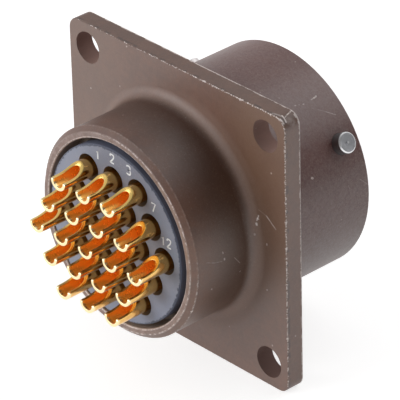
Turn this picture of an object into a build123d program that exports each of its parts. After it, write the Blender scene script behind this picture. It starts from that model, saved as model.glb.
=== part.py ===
from build123d import *
import os
from math import acos, atan2, cos, degrees, radians, sin, sqrt, tan

# A square-flange bayonet receptacle with nineteen solder-cup contacts, in millimetres.
# The axis is Y: the solder cups point to -Y and the mating barrel to +Y. The solder side of the
# flange lies at Y = 0, and the wide keyway is at the top, towards +Z.

os.makedirs("parts", exist_ok=True)

# Flange
flange_side = 28.58
flange_thickness = 1.9
flange_corner_radius = 1.2
flange_edge_break = 0.05
mount_hole_inset = 2.49
mount_hole_diameter = 3.15

# Collar on the solder side of the shell
collar_diameter = 20.7
collar_length = 7.6
collar_wall = 1.08
collar_rim_break = 0.5
collar_bore_break = 0.1
collar_root_radius = 1.2

# Barrel on the mating side of the shell, and the lip that the insert seats against
barrel_diameter = 22.3
barrel_length = 11.75
barrel_wall = 1.5
barrel_mouth_break = 0.12
barrel_root_break = 0.3
plug_bore_depth = 10.1
plug_bore_mouth_break = 0.3
seat_lip_height = 0.77
seat_lip_thickness = 1.2

# Keyways in the barrel, as turns from the wide one
keyway_angles = [105, 140, 215, 265]
keyway_width = 1.6
wide_keyway_width = 2.6
keyway_depth = 0.65
keyway_floor_margin = 1.5

# Bayonet pins
pin_angles = [30, 150, 270]
pin_diameter = 2.0
pin_height = 1.1
pin_setback = 2.25
pin_fit = 0.02
pin_foot_recess = 0.15
pin_edge_break = 0.12
pin_nib_diameter = 0.36
pin_nib_height = 0.07

# Ring that holds the insert in the shell
ring_setback = 2.4
ring_thickness = 0.8
ring_groove_depth = 0.35
ring_gap = 4.0
ring_fit = 0.05
ring_bore_clearance = 0.1

# Insert: rear insulator, contact wafer, front insulator and interfacial seal
insert_rim_gap = 0.5
insert_standout = 0.15
insert_face_break = 0.1
insert_side_clearance = 0.1
insert_key_width = 1.6
insert_key_height = 0.5
insert_key_fit = 0.05
pocket_gap = 0.37
pocket_depth = 1.2
wafer_thickness = 2.0
front_flange_thickness = 1.2
seal_setback = 7.2
seal_thickness = 0.9
seal_collar_height = 0.35
seal_collar_foot_width = 0.59
seal_collar_top_width = 0.29

# Contacts; the rows of letters are seen from the solder side, top row first
contact_pitch = 3.3
contact_rows = ["bam", "cnul", "dpvtk", "ersj", "fgh"]
contact_fit = 0.03
cup_diameter = 1.9
cup_wall = 0.31
cup_bore_depth = 4.0
cup_point_angle = 118
cup_reach = 3.7
cup_cut_height = 0.05
cup_cut_flat = 0.9
cup_cut_radius = 2.4
cup_cut_clearance = 0.02
shoulder_height = 0.3
shoulder_length = 0.8
stem_diameter = 1.5
mating_pin_diameter = 1.02
mating_pin_recess = 2.0
mating_pin_nose_length = 0.4
mating_pin_nose_diameter = 0.5

# Places along the axis that follow from the sizes above
rear_end = -collar_length
mating_end = flange_thickness + barrel_length
lip_front = mating_end - plug_bore_depth
lip_rear = lip_front - seat_lip_thickness
ring_rear = rear_end + ring_setback
ring_front = ring_rear + ring_thickness
insert_face = rear_end - insert_standout
cup_mouth = insert_face - cup_reach
wafer_front = lip_rear - front_flange_thickness
wafer_rear = wafer_front - wafer_thickness
seal_front = mating_end - seal_setback
seal_rear = seal_front - seal_thickness
pin_station = mating_end - pin_setback
contact_tip = mating_end - mating_pin_recess
shoulder_rear = wafer_front - shoulder_length

# Radii that several pieces share
collar_radius = collar_diameter / 2
barrel_radius = barrel_diameter / 2
bore_radius = collar_radius - collar_wall
plug_radius = barrel_radius - barrel_wall
lip_radius = bore_radius - seat_lip_height
groove_radius = bore_radius + ring_groove_depth
insert_radius = bore_radius - insert_rim_gap
seat_radius = bore_radius - insert_side_clearance
nose_radius = lip_radius - insert_side_clearance
cup_radius = cup_diameter / 2
cup_bore_radius = cup_radius - cup_wall
shoulder_radius = cup_radius + shoulder_height
stem_radius = stem_diameter / 2
mating_pin_radius = mating_pin_diameter / 2
pin_foot_radius = plug_radius + pin_foot_recess
pin_head_radius = barrel_radius + pin_height

# Contact places on a triangular grid, by letter
row_height = contact_pitch * sqrt(3) / 2
contact_places = {}
for row, letters in enumerate(contact_rows):
    row_z = (len(contact_rows) // 2 - row) * row_height
    for column, letter in enumerate(letters):
        contact_places[letter] = ((column - (len(letters) - 1) / 2) * contact_pitch, row_z)


def across(station):
    # Plane square to the axis, facing the solder side: its x is X and its y is Z
    return Plane(origin=(0, station, 0), x_dir=(1, 0, 0), z_dir=(0, -1, 0))


def radial(angle, radius):
    # Plane at the bayonet pins' station, facing outwards at this angle from +X towards +Z
    outward = Vector(cos(radians(angle)), 0, sin(radians(angle)))
    return Plane(origin=outward * radius + Vector(0, pin_station, 0), x_dir=(0, 1, 0), z_dir=outward)


def finish(piece, name):
    piece.part.label = name
    export_step(piece.part, f"parts/{name}.step")


# Shell: a turned body with a square flange, one piece of aluminium
collar_root_start = collar_radius + collar_root_radius
barrel_root_start = barrel_radius + barrel_root_break
with BuildPart() as shell:
    with BuildSketch(across(0)):
        RectangleRounded(flange_side, flange_side, flange_corner_radius)
    extrude(amount=-flange_thickness)
    chamfer(shell.faces().filter_by(Axis.Y).edges(), flange_edge_break)

    with BuildSketch(Plane.XY):
        with BuildLine():
            Polyline(
                (0, rear_end),
                (collar_radius - collar_rim_break, rear_end),
                (collar_radius, rear_end + collar_rim_break),
                (collar_radius, -collar_root_radius),
            )
            CenterArc((collar_root_start, -collar_root_radius), collar_root_radius, 180, -90)
            Polyline(
                (collar_root_start, 0),
                (barrel_root_start, flange_thickness),
                (barrel_radius, flange_thickness + barrel_root_break),
                (barrel_radius, mating_end - barrel_mouth_break),
                (barrel_radius - barrel_mouth_break, mating_end),
                (0, mating_end),
                (0, rear_end),
            )
        make_face()
    revolve(axis=Axis.Y)

    # Stepped bore: insert seat, groove for the ring, lip and the wide bore for the plug
    with BuildSketch(Plane.XY):
        with BuildLine():
            Polyline(
                (0, rear_end),
                (bore_radius + collar_bore_break, rear_end),
                (bore_radius, rear_end + collar_bore_break),
                (bore_radius, ring_rear - ring_fit),
                (groove_radius, ring_rear - ring_fit),
                (groove_radius, ring_front + ring_fit),
                (bore_radius, ring_front + ring_fit),
                (bore_radius, lip_rear),
                (lip_radius, lip_rear),
                (lip_radius, lip_front),
                (plug_radius, lip_front),
                (plug_radius, mating_end - plug_bore_mouth_break),
                (plug_radius + plug_bore_mouth_break, mating_end),
                (0, mating_end),
                close=True,
            )
        make_face()
    revolve(axis=Axis.Y, mode=Mode.SUBTRACT)

    hole_spacing = flange_side - 2 * mount_hole_inset
    with Locations(across(0)):
        with GridLocations(hole_spacing, hole_spacing, 2, 2):
            Hole(mount_hole_diameter / 2, depth=flange_thickness)

    # Notch in the lip for the key of the insert, in line with the wide keyway
    with BuildSketch(across(lip_front)):
        with PolarLocations(lip_radius, 1, start_angle=90):
            Rectangle(2 * insert_key_height, insert_key_width + 2 * insert_key_fit)
    extrude(amount=seat_lip_thickness, mode=Mode.SUBTRACT)

    # Keyways, cut from the mating end; the wide one is at the top
    with BuildSketch(across(mating_end)):
        with PolarLocations(plug_radius, 1, start_angle=90):
            Rectangle(2 * keyway_depth, wide_keyway_width)
        for angle in keyway_angles:
            with PolarLocations(plug_radius, 1, start_angle=90 + angle):
                Rectangle(2 * keyway_depth, keyway_width)
    extrude(amount=plug_bore_depth - keyway_floor_margin, mode=Mode.SUBTRACT)

    for angle in pin_angles:
        with BuildSketch(radial(angle, 0)):
            Circle(pin_diameter / 2 + pin_fit)
        extrude(amount=barrel_diameter, mode=Mode.SUBTRACT)
finish(shell, "shell")

# Bayonet pins: pressed into the barrel, foot just short of the bore, a turning nib on the head
for number, angle in enumerate(pin_angles, start=1):
    with BuildPart() as bayonet_pin:
        with BuildSketch(radial(angle, pin_foot_radius)):
            Circle(pin_diameter / 2)
        extrude(amount=pin_head_radius - pin_foot_radius)
        outward = Axis((0, 0, 0), radial(angle, 0).z_dir)
        head_edge = bayonet_pin.edges().filter_by(GeomType.CIRCLE).sort_by(outward)[-1]
        chamfer(head_edge, pin_edge_break)
        with BuildSketch(radial(angle, pin_head_radius)):
            Circle(pin_nib_diameter / 2)
        extrude(amount=pin_nib_height)
    finish(bayonet_pin, f"bayonet_pin_{number}")

# Retaining ring: split at the bottom, sprung into the groove behind the flange of the insert
ring_outer_radius = groove_radius - ring_fit
ring_inner_radius = insert_radius + ring_bore_clearance
ring_gap_angle = degrees(ring_gap / ring_outer_radius)
with BuildPart() as retaining_ring:
    with BuildSketch(Plane.XY.rotated((0, 90 + ring_gap_angle / 2, 0))):
        with Locations(((ring_inner_radius + ring_outer_radius) / 2, (ring_rear + ring_front) / 2)):
            Rectangle(ring_outer_radius - ring_inner_radius, ring_thickness)
    revolve(axis=Axis.Y, revolution_arc=360 - ring_gap_angle)
finish(retaining_ring, "retaining_ring")

# Rear insulator: resilient body with a flange behind the ring and a pocket round each contact
with BuildPart() as rear_insulator:
    with BuildSketch(across(wafer_rear)):
        Circle(insert_radius)
    extrude(amount=wafer_rear - insert_face)
    face_edge = rear_insulator.edges().filter_by(GeomType.CIRCLE).sort_by(Axis.Y)[0]
    chamfer(face_edge, insert_face_break)
    with BuildSketch(across(wafer_rear)):
        Circle(seat_radius)
    extrude(amount=wafer_rear - ring_front - ring_fit)
    with BuildSketch(across(wafer_rear)):
        with Locations(*contact_places.values()):
            Circle(cup_radius + contact_fit)
    extrude(amount=wafer_rear - insert_face, mode=Mode.SUBTRACT)
    with BuildSketch(across(insert_face + pocket_depth)):
        with Locations(*contact_places.values()):
            Circle(cup_radius + pocket_gap)
    extrude(amount=pocket_depth, mode=Mode.SUBTRACT)
finish(rear_insulator, "rear_insulator")

# Contact wafer: hard disc, counterbored on its front side for the shoulders of the contacts
with BuildPart() as contact_wafer:
    with BuildSketch(across(wafer_front)):
        Circle(seat_radius)
        with Locations(*contact_places.values()):
            Circle(cup_radius + contact_fit, mode=Mode.SUBTRACT)
    extrude(amount=wafer_thickness)
    with BuildSketch(across(wafer_front)):
        with Locations(*contact_places.values()):
            Circle(shoulder_radius + contact_fit)
    extrude(amount=shoulder_length, mode=Mode.SUBTRACT)
finish(contact_wafer, "contact_wafer")

# Front insulator: flange against the lip of the shell, nose through the lip, key in the lip's notch
with BuildPart() as front_insulator:
    with BuildSketch(across(lip_rear)):
        Circle(seat_radius)
    extrude(amount=front_flange_thickness)
    with BuildSketch(across(seal_rear)):
        Circle(nose_radius)
    extrude(amount=seal_rear - lip_rear)
    with BuildSketch(across(lip_front)):
        with PolarLocations(nose_radius, 1, start_angle=90):
            Rectangle(2 * insert_key_height, insert_key_width)
    extrude(amount=seat_lip_thickness)
    with BuildSketch(across(seal_rear)):
        with Locations(*contact_places.values()):
            Circle(stem_radius + contact_fit)
    extrude(amount=seal_rear - wafer_front, mode=Mode.SUBTRACT)
finish(front_insulator, "front_insulator")

# Interfacial seal: soft disc on the nose, with a raised tapered collar round each pin
collar_taper = degrees(atan2(seal_collar_foot_width - seal_collar_top_width, seal_collar_height))
with BuildPart() as interfacial_seal:
    with BuildSketch(across(seal_front)):
        Circle(nose_radius)
    extrude(amount=seal_thickness)
    with BuildSketch(across(seal_front)):
        with Locations(*contact_places.values()):
            Circle(mating_pin_radius + seal_collar_foot_width)
    extrude(amount=-seal_collar_height, taper=collar_taper)
    with BuildSketch(across(seal_front + seal_collar_height)):
        with Locations(*contact_places.values()):
            Circle(mating_pin_radius + contact_fit)
    extrude(amount=seal_thickness + seal_collar_height, mode=Mode.SUBTRACT)
finish(interfacial_seal, "interfacial_seal")

# Contact: one turned piece; its cup is cut open along the top with a cutter that lifts at the end
cup_bore_end = cup_mouth + cup_bore_depth
cup_bore_point = cup_bore_radius / tan(radians(cup_point_angle / 2))
cut_top = cup_radius + cup_cut_clearance
cut_arc = degrees(acos(1 - (cut_top - cup_cut_height) / cup_cut_radius))
with BuildPart() as contact:
    with BuildSketch(Plane.XY):
        with BuildLine():
            Polyline(
                (0, contact_tip),
                (0, cup_mouth),
                (cup_radius, cup_mouth),
                (cup_radius, shoulder_rear),
                (shoulder_radius, shoulder_rear),
                (shoulder_radius, wafer_front),
                (stem_radius, wafer_front),
                (stem_radius, seal_rear),
                (mating_pin_radius, seal_rear),
                (mating_pin_radius, contact_tip - mating_pin_nose_length),
                (mating_pin_nose_diameter / 2, contact_tip),
                (0, contact_tip),
            )
        make_face()
    revolve(axis=Axis.Y)
    with BuildSketch(Plane.XY):
        with BuildLine():
            Polyline(
                (0, cup_mouth),
                (cup_bore_radius, cup_mouth),
                (cup_bore_radius, cup_bore_end),
                (0, cup_bore_end + cup_bore_point),
                close=True,
            )
        make_face()
    revolve(axis=Axis.Y, mode=Mode.SUBTRACT)
    with BuildSketch(Plane.YZ):
        with BuildLine():
            lift = CenterArc(
                (cup_mouth + cup_cut_flat, cup_cut_height + cup_cut_radius), cup_cut_radius, 270, cut_arc
            )
            Polyline(
                lift @ 1,
                (cup_mouth, cut_top),
                (cup_mouth, cup_cut_height),
                lift @ 0,
            )
        make_face()
    extrude(amount=cup_diameter, both=True, mode=Mode.SUBTRACT)

for letter, (contact_x, contact_z) in contact_places.items():
    with BuildPart() as placed:
        with Locations((contact_x, 0, contact_z)):
            add(contact.part)
    finish(placed, f"contact_{letter}")
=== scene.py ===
import bpy, bmesh, math
import numpy as np
from mathutils import Matrix, Vector


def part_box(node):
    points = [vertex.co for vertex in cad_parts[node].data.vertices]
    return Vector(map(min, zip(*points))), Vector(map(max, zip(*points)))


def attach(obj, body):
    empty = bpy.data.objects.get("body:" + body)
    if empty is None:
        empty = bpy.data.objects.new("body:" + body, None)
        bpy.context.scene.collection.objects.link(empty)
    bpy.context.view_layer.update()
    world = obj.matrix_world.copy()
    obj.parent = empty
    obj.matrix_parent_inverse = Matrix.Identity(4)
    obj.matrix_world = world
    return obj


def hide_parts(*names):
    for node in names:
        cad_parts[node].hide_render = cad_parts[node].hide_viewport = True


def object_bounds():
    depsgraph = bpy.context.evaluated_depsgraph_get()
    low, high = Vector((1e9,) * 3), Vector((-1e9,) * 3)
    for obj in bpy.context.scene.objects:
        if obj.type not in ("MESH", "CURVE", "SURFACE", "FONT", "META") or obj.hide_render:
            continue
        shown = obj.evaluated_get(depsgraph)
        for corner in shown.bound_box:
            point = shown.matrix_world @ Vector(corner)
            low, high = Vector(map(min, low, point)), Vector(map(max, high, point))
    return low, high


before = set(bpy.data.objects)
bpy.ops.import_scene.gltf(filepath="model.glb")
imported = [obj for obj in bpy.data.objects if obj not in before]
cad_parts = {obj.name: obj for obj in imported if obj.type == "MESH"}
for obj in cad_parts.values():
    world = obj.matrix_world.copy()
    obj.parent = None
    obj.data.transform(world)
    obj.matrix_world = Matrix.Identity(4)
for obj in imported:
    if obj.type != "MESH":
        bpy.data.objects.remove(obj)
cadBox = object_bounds()
mm = 0.001
print("frame loaded:", len(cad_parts), "nodes")

# Places and sizes, read from the frame where it has them; lengths are in mm unless a note says otherwise

def span(node):
    low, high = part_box(node)
    return np.array(low) / mm, np.array(high) / mm

shellLow, shellHigh = span("shell")
flangeHalf = shellHigh[0]
flangeThick = 1.9
rimStation = shellLow[1]
faceStation = span("rear_insulator")[0][1]
contactNames = sorted(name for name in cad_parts
                      if name.startswith("contact_") and len(name) == len("contact_a"))
contactPlaces = {}
for name in contactNames:
    low, high = span(name)
    contactPlaces[name] = ((low[0] + high[0]) / 2, (low[2] + high[2]) / 2)
cupMouth, contactTip = (corner[1] for corner in span("contact_a"))

# Camera at the photograph's view: angles in degrees, and the clip distances in metres
photoView = {"azimuth": 47.818, "elevation": 30.229, "roll": -1.511, "distance": 368.51,
             "sideways": 2.012, "upwards": 0.367, "lens": 362.39, "sensor": 36, "clip": (0.01, 20)}

def placeCamera():
    azimuth, elevation, roll = (math.radians(photoView[key]) for key in ("azimuth", "elevation", "roll"))
    level = Vector((math.cos(azimuth), math.sin(azimuth), 0))
    back = Vector((math.sin(azimuth) * math.cos(elevation), -math.cos(azimuth) * math.cos(elevation),
                   math.sin(elevation)))
    upright = back.cross(level)
    across = level * math.cos(roll) + upright * math.sin(roll)
    above = upright * math.cos(roll) - level * math.sin(roll)
    place = across * photoView["sideways"] + above * photoView["upwards"] + back * photoView["distance"]
    data = bpy.data.cameras.new("photoCamera")
    data.lens = photoView["lens"]
    data.sensor_width = photoView["sensor"]
    data.clip_start, data.clip_end = photoView["clip"]
    camera = bpy.data.objects.new("photoCamera", data)
    bpy.context.collection.objects.link(camera)
    turned = Matrix((across, above, back)).transposed().to_4x4()
    camera.matrix_world = Matrix.Translation(place * mm) @ turned
    bpy.context.scene.camera = camera

placeCamera()

class Finish:
    # A material with its Principled shader, and short calls for the nodes that feed it

    def __init__(self, name):
        self.material = bpy.data.materials.new(name)
        self.material.use_nodes = True
        self.tree = self.material.node_tree
        self.shader = self.tree.nodes["Principled BSDF"]
        coordinates = self.add("ShaderNodeTexCoord").outputs["Object"]
        self.place = self.vector("SCALE", coordinates, scale=1 / mm)
        split = self.add("ShaderNodeSeparateXYZ")
        self.link(self.place, split.inputs[0])
        self.x, self.y, self.z = split.outputs

    def add(self, kind, **settings):
        made = self.tree.nodes.new(kind)
        for key, value in settings.items():
            setattr(made, key, value)
        return made

    def link(self, value, socket):
        if isinstance(value, (int, float, tuple, list)):
            socket.default_value = value
        else:
            self.tree.links.new(value, socket)

    def vector(self, operation, first, second=None, scale=None):
        made = self.add("ShaderNodeVectorMath", operation=operation)
        self.link(first, made.inputs[0])
        if second is not None:
            self.link(second, made.inputs[1])
        if scale is not None:
            self.link(scale, made.inputs["Scale"])
        isNumber = operation in ("LENGTH", "DISTANCE", "DOT_PRODUCT")
        return made.outputs["Value" if isNumber else "Vector"]

    def calc(self, operation, *values):
        made = self.add("ShaderNodeMath", operation=operation)
        for value, socket in zip(values, made.inputs):
            self.link(value, socket)
        return made.outputs[0]

    def chain(self, operation, values):
        # The operation on the first two values, then on its result and the third, and so on
        result = values[0]
        for value in values[1:]:
            result = self.calc(operation, result, value)
        return result

    def total(self, *values):
        return self.chain("ADD", values)

    def product(self, *values):
        return self.chain("MULTIPLY", values)

    def largest(self, *values):
        return self.chain("MAXIMUM", values)

    def minus(self, first, second):
        return self.calc("SUBTRACT", first, second)

    def absolute(self, value):
        return self.calc("ABSOLUTE", value)

    def hypotenuse(self, first, second):
        return self.calc("SQRT", self.total(self.product(first, first), self.product(second, second)))

    def ease(self, value, low, high, start=0.0, end=1.0):
        # Smooth step from start to end as the value goes from low to high
        made = self.add("ShaderNodeMapRange", interpolation_type="SMOOTHSTEP")
        for socket, number in zip(made.inputs, (value, low, high, start, end)):
            self.link(number, socket)
        return made.outputs[0]

    def near(self, value, centre, width, core=0.35):
        # 1 where the value is at the centre, falling to 0 one width away; the core is the share that stays 1
        return self.ease(self.absolute(self.minus(value, centre)), width, width * core)

    def noise(self, perMm, detail=3.0, roughness=0.55, stretch=None):
        made = self.add("ShaderNodeTexNoise")
        where = self.place if stretch is None else self.vector("MULTIPLY", self.place, stretch)
        self.link(where, made.inputs["Vector"])
        made.inputs["Scale"].default_value = perMm
        made.inputs["Detail"].default_value = detail
        made.inputs["Roughness"].default_value = roughness
        return made.outputs["Fac"]

    def paint(self, colour):
        return (*colour, 1.0) if isinstance(colour, tuple) and len(colour) == 3 else colour

    def blend(self, factor, first, second, kind="MIX"):
        made = self.add("ShaderNodeMix", data_type="RGBA", blend_type=kind, clamp_result=kind == "ADD")
        self.link(factor, made.inputs["Factor"])
        self.link(self.paint(first), made.inputs[6])  # inputs 6 and 7 and output 2 are the node's colours
        self.link(self.paint(second), made.inputs[7])
        return made.outputs[2]

    def bump(self, height, distance, below=None):
        # The height is 0 to 1, and the distance is what 1 stands for, in mm
        made = self.add("ShaderNodeBump")
        made.inputs["Distance"].default_value = distance * mm
        self.link(height, made.inputs["Height"])
        if below is not None:
            self.link(below, made.inputs["Normal"])
        return made.outputs[0]

    def fromAxis(self):
        # Distance from the connector's axis
        return self.hypotenuse(self.x, self.z)

    def fromRun(self, start, end):
        # Distance from the straight run between two points: |p - a - h (b - a)|, h held between 0 and 1
        run = Vector(end) - Vector(start)
        away = self.vector("SUBTRACT", self.place, start)
        share = self.calc("DIVIDE", self.vector("DOT_PRODUCT", away, tuple(run)), run.length_squared)
        share = self.calc("MINIMUM", self.largest(share, 0.0), 1.0)
        return self.vector("DISTANCE", away, self.vector("SCALE", tuple(run), scale=share))

    def strokes(self, runs, core=0.4):
        # Straight strokes, each given by both ends, half its width and its strength
        return self.largest(*(self.ease(self.fromRun(start, end), width, width * core, 0.0, strength)
                              for start, end, width, strength in runs))

    def pastFace(self, depths):
        # Smooth step from 0 to 1 between two depths behind the insert's face
        return self.ease(self.y, *(faceStation + depth for depth in depths))

    def put(self, **values):
        for key, value in values.items():
            self.link(self.paint(value), self.shader.inputs[key.replace("_", " ")])

def dress(node, finish):
    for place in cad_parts[node].material_slots:
        place.material = finish.material

# The bayonet pins: turns round the axis from +X, and how far their own axes lie behind the barrel's mouth
pinTurns = (30, 150, 270)
pinSetBack = 2.25
pinStation = shellHigh[1] - pinSetBack

def pinOutward(turn):
    return (math.cos(math.radians(turn)), 0.0, math.sin(math.radians(turn)))

def pinPoint(turn, radius):
    outward = pinOutward(turn)
    return (radius * outward[0], pinStation, radius * outward[2])

# Shell: dull brown conversion coat on aluminium, worn bright along its edges
shellCoat = {
    # Sizes of the shell
    "cornerRadius": 1.2, "collarRadius": 10.35, "rimBreak": 0.5, "boreRadius": 9.27, "barrelRadius": 11.15,
    "holePlace": 11.8, "holeRadius": 1.575,
    # Colours of the coat, some of them painted shade and painted light, then of the dust on it, which also
    # serves as painted light, and the metal that shows through
    "light": (0.17, 0.07, 0.038), "dark": (0.128, 0.05, 0.026), "warm": (0.168, 0.077, 0.036),
    "paintedShade": (0.082, 0.034, 0.012), "fillet": (0.27, 0.16, 0.115), "bore": (0.5, 0.36, 0.28),
    "collar": (0.98, 0.8, 0.45), "collarTop": (0.78, 0.64, 0.5),
    "barrel": (0.175, 0.052, 0.058), "barrelSide": (0.09, 0.056, 0.048),
    "holeLow": (0.19, 0.1, 0.08), "holeHigh": (0.27, 0.15, 0.12),
    "paleDustAndLight": (0.26, 0.19, 0.15), "notch": (0.085, 0.036, 0.022),
    "bare": (0.93, 0.81, 0.77), "blush": (0.82, 0.7, 0.66),
    # Where each place begins and where it is in full
    "collarFrom": (-0.2, -1.0), "barrelFrom": (2.0, 2.4), "flangeFace": (0.4, 0.1),
    "rootRear": (-7.0, -3.0), "rootFront": (-0.1, -0.9), "insertWall": (-3.0, -4.5), "pinShade": (2.1, 0.9),
    "filletInner": (10.4, 10.75), "filletOuter": (12.7, 11.8), "filletFace": (0.05, -0.02),
    "warmAcross": (4.0, 11.0), "warmUp": (-9.0, 1.0), "paintedLightAcross": (-3.0, -12.0), "grainUp": (9.0, 2.0),
    "holeUp": (-6.0, 6.0),
    # Two places between which the front edge's dashes grow denser, and what is added to their noise at each
    "denseAcross": (-12.0, 12.0, -0.05, 0.06), "denseUp": (-14.0, -4.0, -0.07, 0.0),
    # Shares of the colours that are laid over others
    "pinShadeShare": 0.75, "barrelShare": 0.5, "barrelSideShare": 0.45, "paintedLightShare": 0.22,
    # Bloom lightens the coat; the mean of the grainy bloom on the barrel is taken out again
    "bloom": 0.008, "bloomGrain": (0.022, 0.036), "bloomMean": 1.35, "bloomBase": 0.0216,
    # Painted sheen and shade on the barrel: bands by their height over the radius (centre, width, strength),
    # and the paler underside
    "paintedSheenBands": ((0.78, 0.24, 0.055), (0.12, 0.5, -0.05)), "paintedSheenBelow": (-0.25, -0.6, 0.0, 0.06),
    # How far the wear reaches from an edge; half the width of the rim's lines, and their way in from an edge
    "dashReach": 0.1, "chipReach": 0.12, "backReach": (0.1, 0.22), "mouthReach": (0.16, 0.08),
    "rimLine": 0.1, "boreLine": 0.09, "bevelInset": 0.04, "boreInset": 0.08,
    "roughness": 0.46, "roughSpread": 0.12, "dullFillet": 0.3, "dullHole": 0.4, "index": 1.9,
    "fineRelief": 0.01, "grainRelief": 0.014, "wornSmooth": 0.6,
    # Noise: how many to 1 mm, its detail, its roughness and, for the dashes, its stretch
    "patterns": {
        "cloud": (0.22, 4, 0.6), "mottle": (1.3, 5, 0.65), "blotch": (2.4, 4, 0.6), "grain": (4.5, 4, 0.65),
        "fine": (7.0, 3, 0.6), "dashes": (1.5, 5, 0.75, (0.8, 1.6, 2.2)), "chips": (1.9, 4, 0.7),
        "notches": (1.1, 4, 0.7), "backBreaks": (1.3, 5, 0.75), "dots": (3.2, 4, 0.75),
        "mouth": (1.4, 5, 0.7), "nickFields": (0.9, 2), "broken": (3.0, 3, 0.7),
    },
    "nicksPerMm": 0.55, "nickStrength": 0.5,
}

# Scratches and chips: both ends, half the width and how strongly they show
shellMarks = [
    # On the barrel, then on the collar
    ((6.41, 10.89, 9.12), (6.38, 11.27, 9.15), 0.07, 0.5),
    ((6.38, 11.27, 9.15), (6.33, 11.6, 9.18), 0.11, 0.9),
    ((6.29, 8.95, 9.21), (6.3, 9.03, 9.2), 0.08, 0.5),
    ((6.47, 9.8, 9.08), (6.47, 9.9, 9.08), 0.08, 0.5),
    ((6.36, 9.38, 9.16), (6.37, 9.42, 9.15), 0.06, 0.3),
    ((7.03, 10.44, 8.65), (7.66, 11.53, 8.1), 0.05, 0.15),
    ((7.66, 11.53, 8.1), (8.11, 12.32, 7.65), 0.06, 0.45),
    ((10.38, 7.04, 4.07), (10.4, 7.12, 4.02), 0.15, 0.9),
    ((10.99, 12.62, 1.89), (11.09, 13.35, 1.16), 0.06, 0.25),
    ((11.08, 10.04, -1.26), (11.08, 10.12, -1.26), 0.07, 0.35),
    ((10.99, 11.05, 1.88), (11.05, 11.2, 1.5), 0.05, 0.2),
    ((10.3, -4.06, 0.95), (10.31, -4.0, 0.8), 0.09, 0.6),
    ((10.34, -3.9, 0.22), (10.34, -3.88, 0.12), 0.12, 0.7),
    ((10.13, -1.85, -2.1), (10.13, -1.8, -2.05), 0.09, 0.6),
    ((10.03, -5.26, -2.5), (10.03, -5.2, -2.58), 0.11, 0.7),
    ((10.34, -2.68, -0.18), (10.29, -1.96, -1.08), 0.06, 0.35),
    ((10.33, -5.99, 0.67), (10.34, -5.16, 0.31), 0.07, 0.3),
    ((10.34, -5.16, 0.31), (10.35, -4.2, 0.06), 0.06, 0.25),
    # At the collar's foot and on the flange beside it
    ((10.78, -0.04, 3.25), (10.64, -0.13, 2.75), 0.09, 1.0),
    ((10.64, -0.18, 2.45), (10.68, -0.17, 2.3), 0.13, 1.2),
    ((10.7, -0.08, 2.95), (10.82, -0.05, 2.9), 0.07, 0.8),
    ((10.59, -0.38, 1.4), (10.59, -0.38, 1.33), 0.12, 0.4),
    ((11.77, 0.0, 0.7), (11.77, 0.0, 0.58), 0.1, 0.7),
    ((10.75, 0.0, 3.85), (11.8, 0.0, 3.6), 0.06, 0.18),
    ((11.8, 0.0, 3.6), (12.95, 0.0, 2.72), 0.09, 0.55),
    ((11.65, 0.0, -4.2), (11.73, 0.0, -4.14), 0.09, 0.5),
    # On the rim of the collar and at the flange's lower right corner
    ((9.37, -7.12, -4.38), (9.43, -7.08, -4.32), 0.15, 1.8),
    ((13.95, 0.0, -14.26), (14.27, 0.05, -13.95), 0.12, 0.8),
    # At the struck corner at the upper right, and on the side below it
    ((12.57, 0.26, 14.29), (13.39, 0.46, 14.25), 0.16, 0.35),
    ((13.38, 0.57, 14.25), (13.99, 0.47, 13.89), 0.1, 1.2),
    ((13.62, 0.1, 14.17), (14.02, 0.18, 13.85), 0.12, 1.2),
    ((13.66, 0.6, 14.14), (13.52, 1.03, 14.21), 0.07, 0.5),
    ((13.52, 1.03, 14.21), (13.43, 1.41, 14.24), 0.08, 0.9),
    ((13.43, 1.41, 14.24), (13.3, 1.8, 14.27), 0.11, 0.6),
    ((13.27, 1.84, 14.28), (13.4, 1.84, 14.24), 0.12, 1.3),
    ((13.78, 1.7, 14.04), (13.95, 1.7, 13.93), 0.14, 0.7),
    ((14.22, 1.75, 13.52), (14.24, 1.78, 13.4), 0.13, 1.1),
    ((14.29, 1.82, 12.4), (14.29, 1.82, 12.33), 0.12, 1.6),
    # A wide, faint pale patch on the corner's facet
    ((14.0, 0.8, 13.88), (14.15, 1.1, 13.65), 0.45, 0.22),
]

# Dark cuts at the struck corner of the flange, in the same way
shellCuts = [
    ((13.57, 0.34, 14.19), (14.04, 0.36, 13.82), 0.1, 1.0),
    ((13.3, 0.35, 14.27), (13.57, 0.34, 14.19), 0.06, 0.6),
]

class ShellFinish(Finish):
    # The patterns and places that the steps of the shell's coat share

    def __init__(self):
        super().__init__("shellCoat")
        self.radius = self.fromAxis()
        self.sideways = self.calc("DIVIDE", self.x, self.radius)
        self.upwards = self.calc("DIVIDE", self.z, self.radius)
        self.cloud, self.mottle = self.pattern("cloud"), self.pattern("mottle")
        self.grain, self.fine = self.pattern("grain"), self.pattern("fine")
        self.onCollar = self.step(self.y, "collarFrom")
        self.onBarrel = self.step(self.y, "barrelFrom")
        self.onFlange = self.step(self.absolute(self.y), "flangeFace")
        self.onFillet = self.product(
            self.step(self.radius, "filletInner"), self.step(self.radius, "filletOuter"),
            self.step(self.y, "filletFace"), self.ease(self.sideways, -0.3, 0.6, 0.1, 0.45))
        fromHole = self.hypotenuse(*(self.minus(self.absolute(along), shellCoat["holePlace"])
                                     for along in (self.x, self.z)))
        hole = shellCoat["holeRadius"]
        self.inHole = self.product(self.ease(fromHole, hole + 0.03, hole + 0.01), self.ease(self.y, 0.0, 0.1))

    def pattern(self, key):
        return self.noise(*shellCoat["patterns"][key])

    def step(self, value, key, *ends):
        return self.ease(value, *shellCoat[key], *ends)

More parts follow.
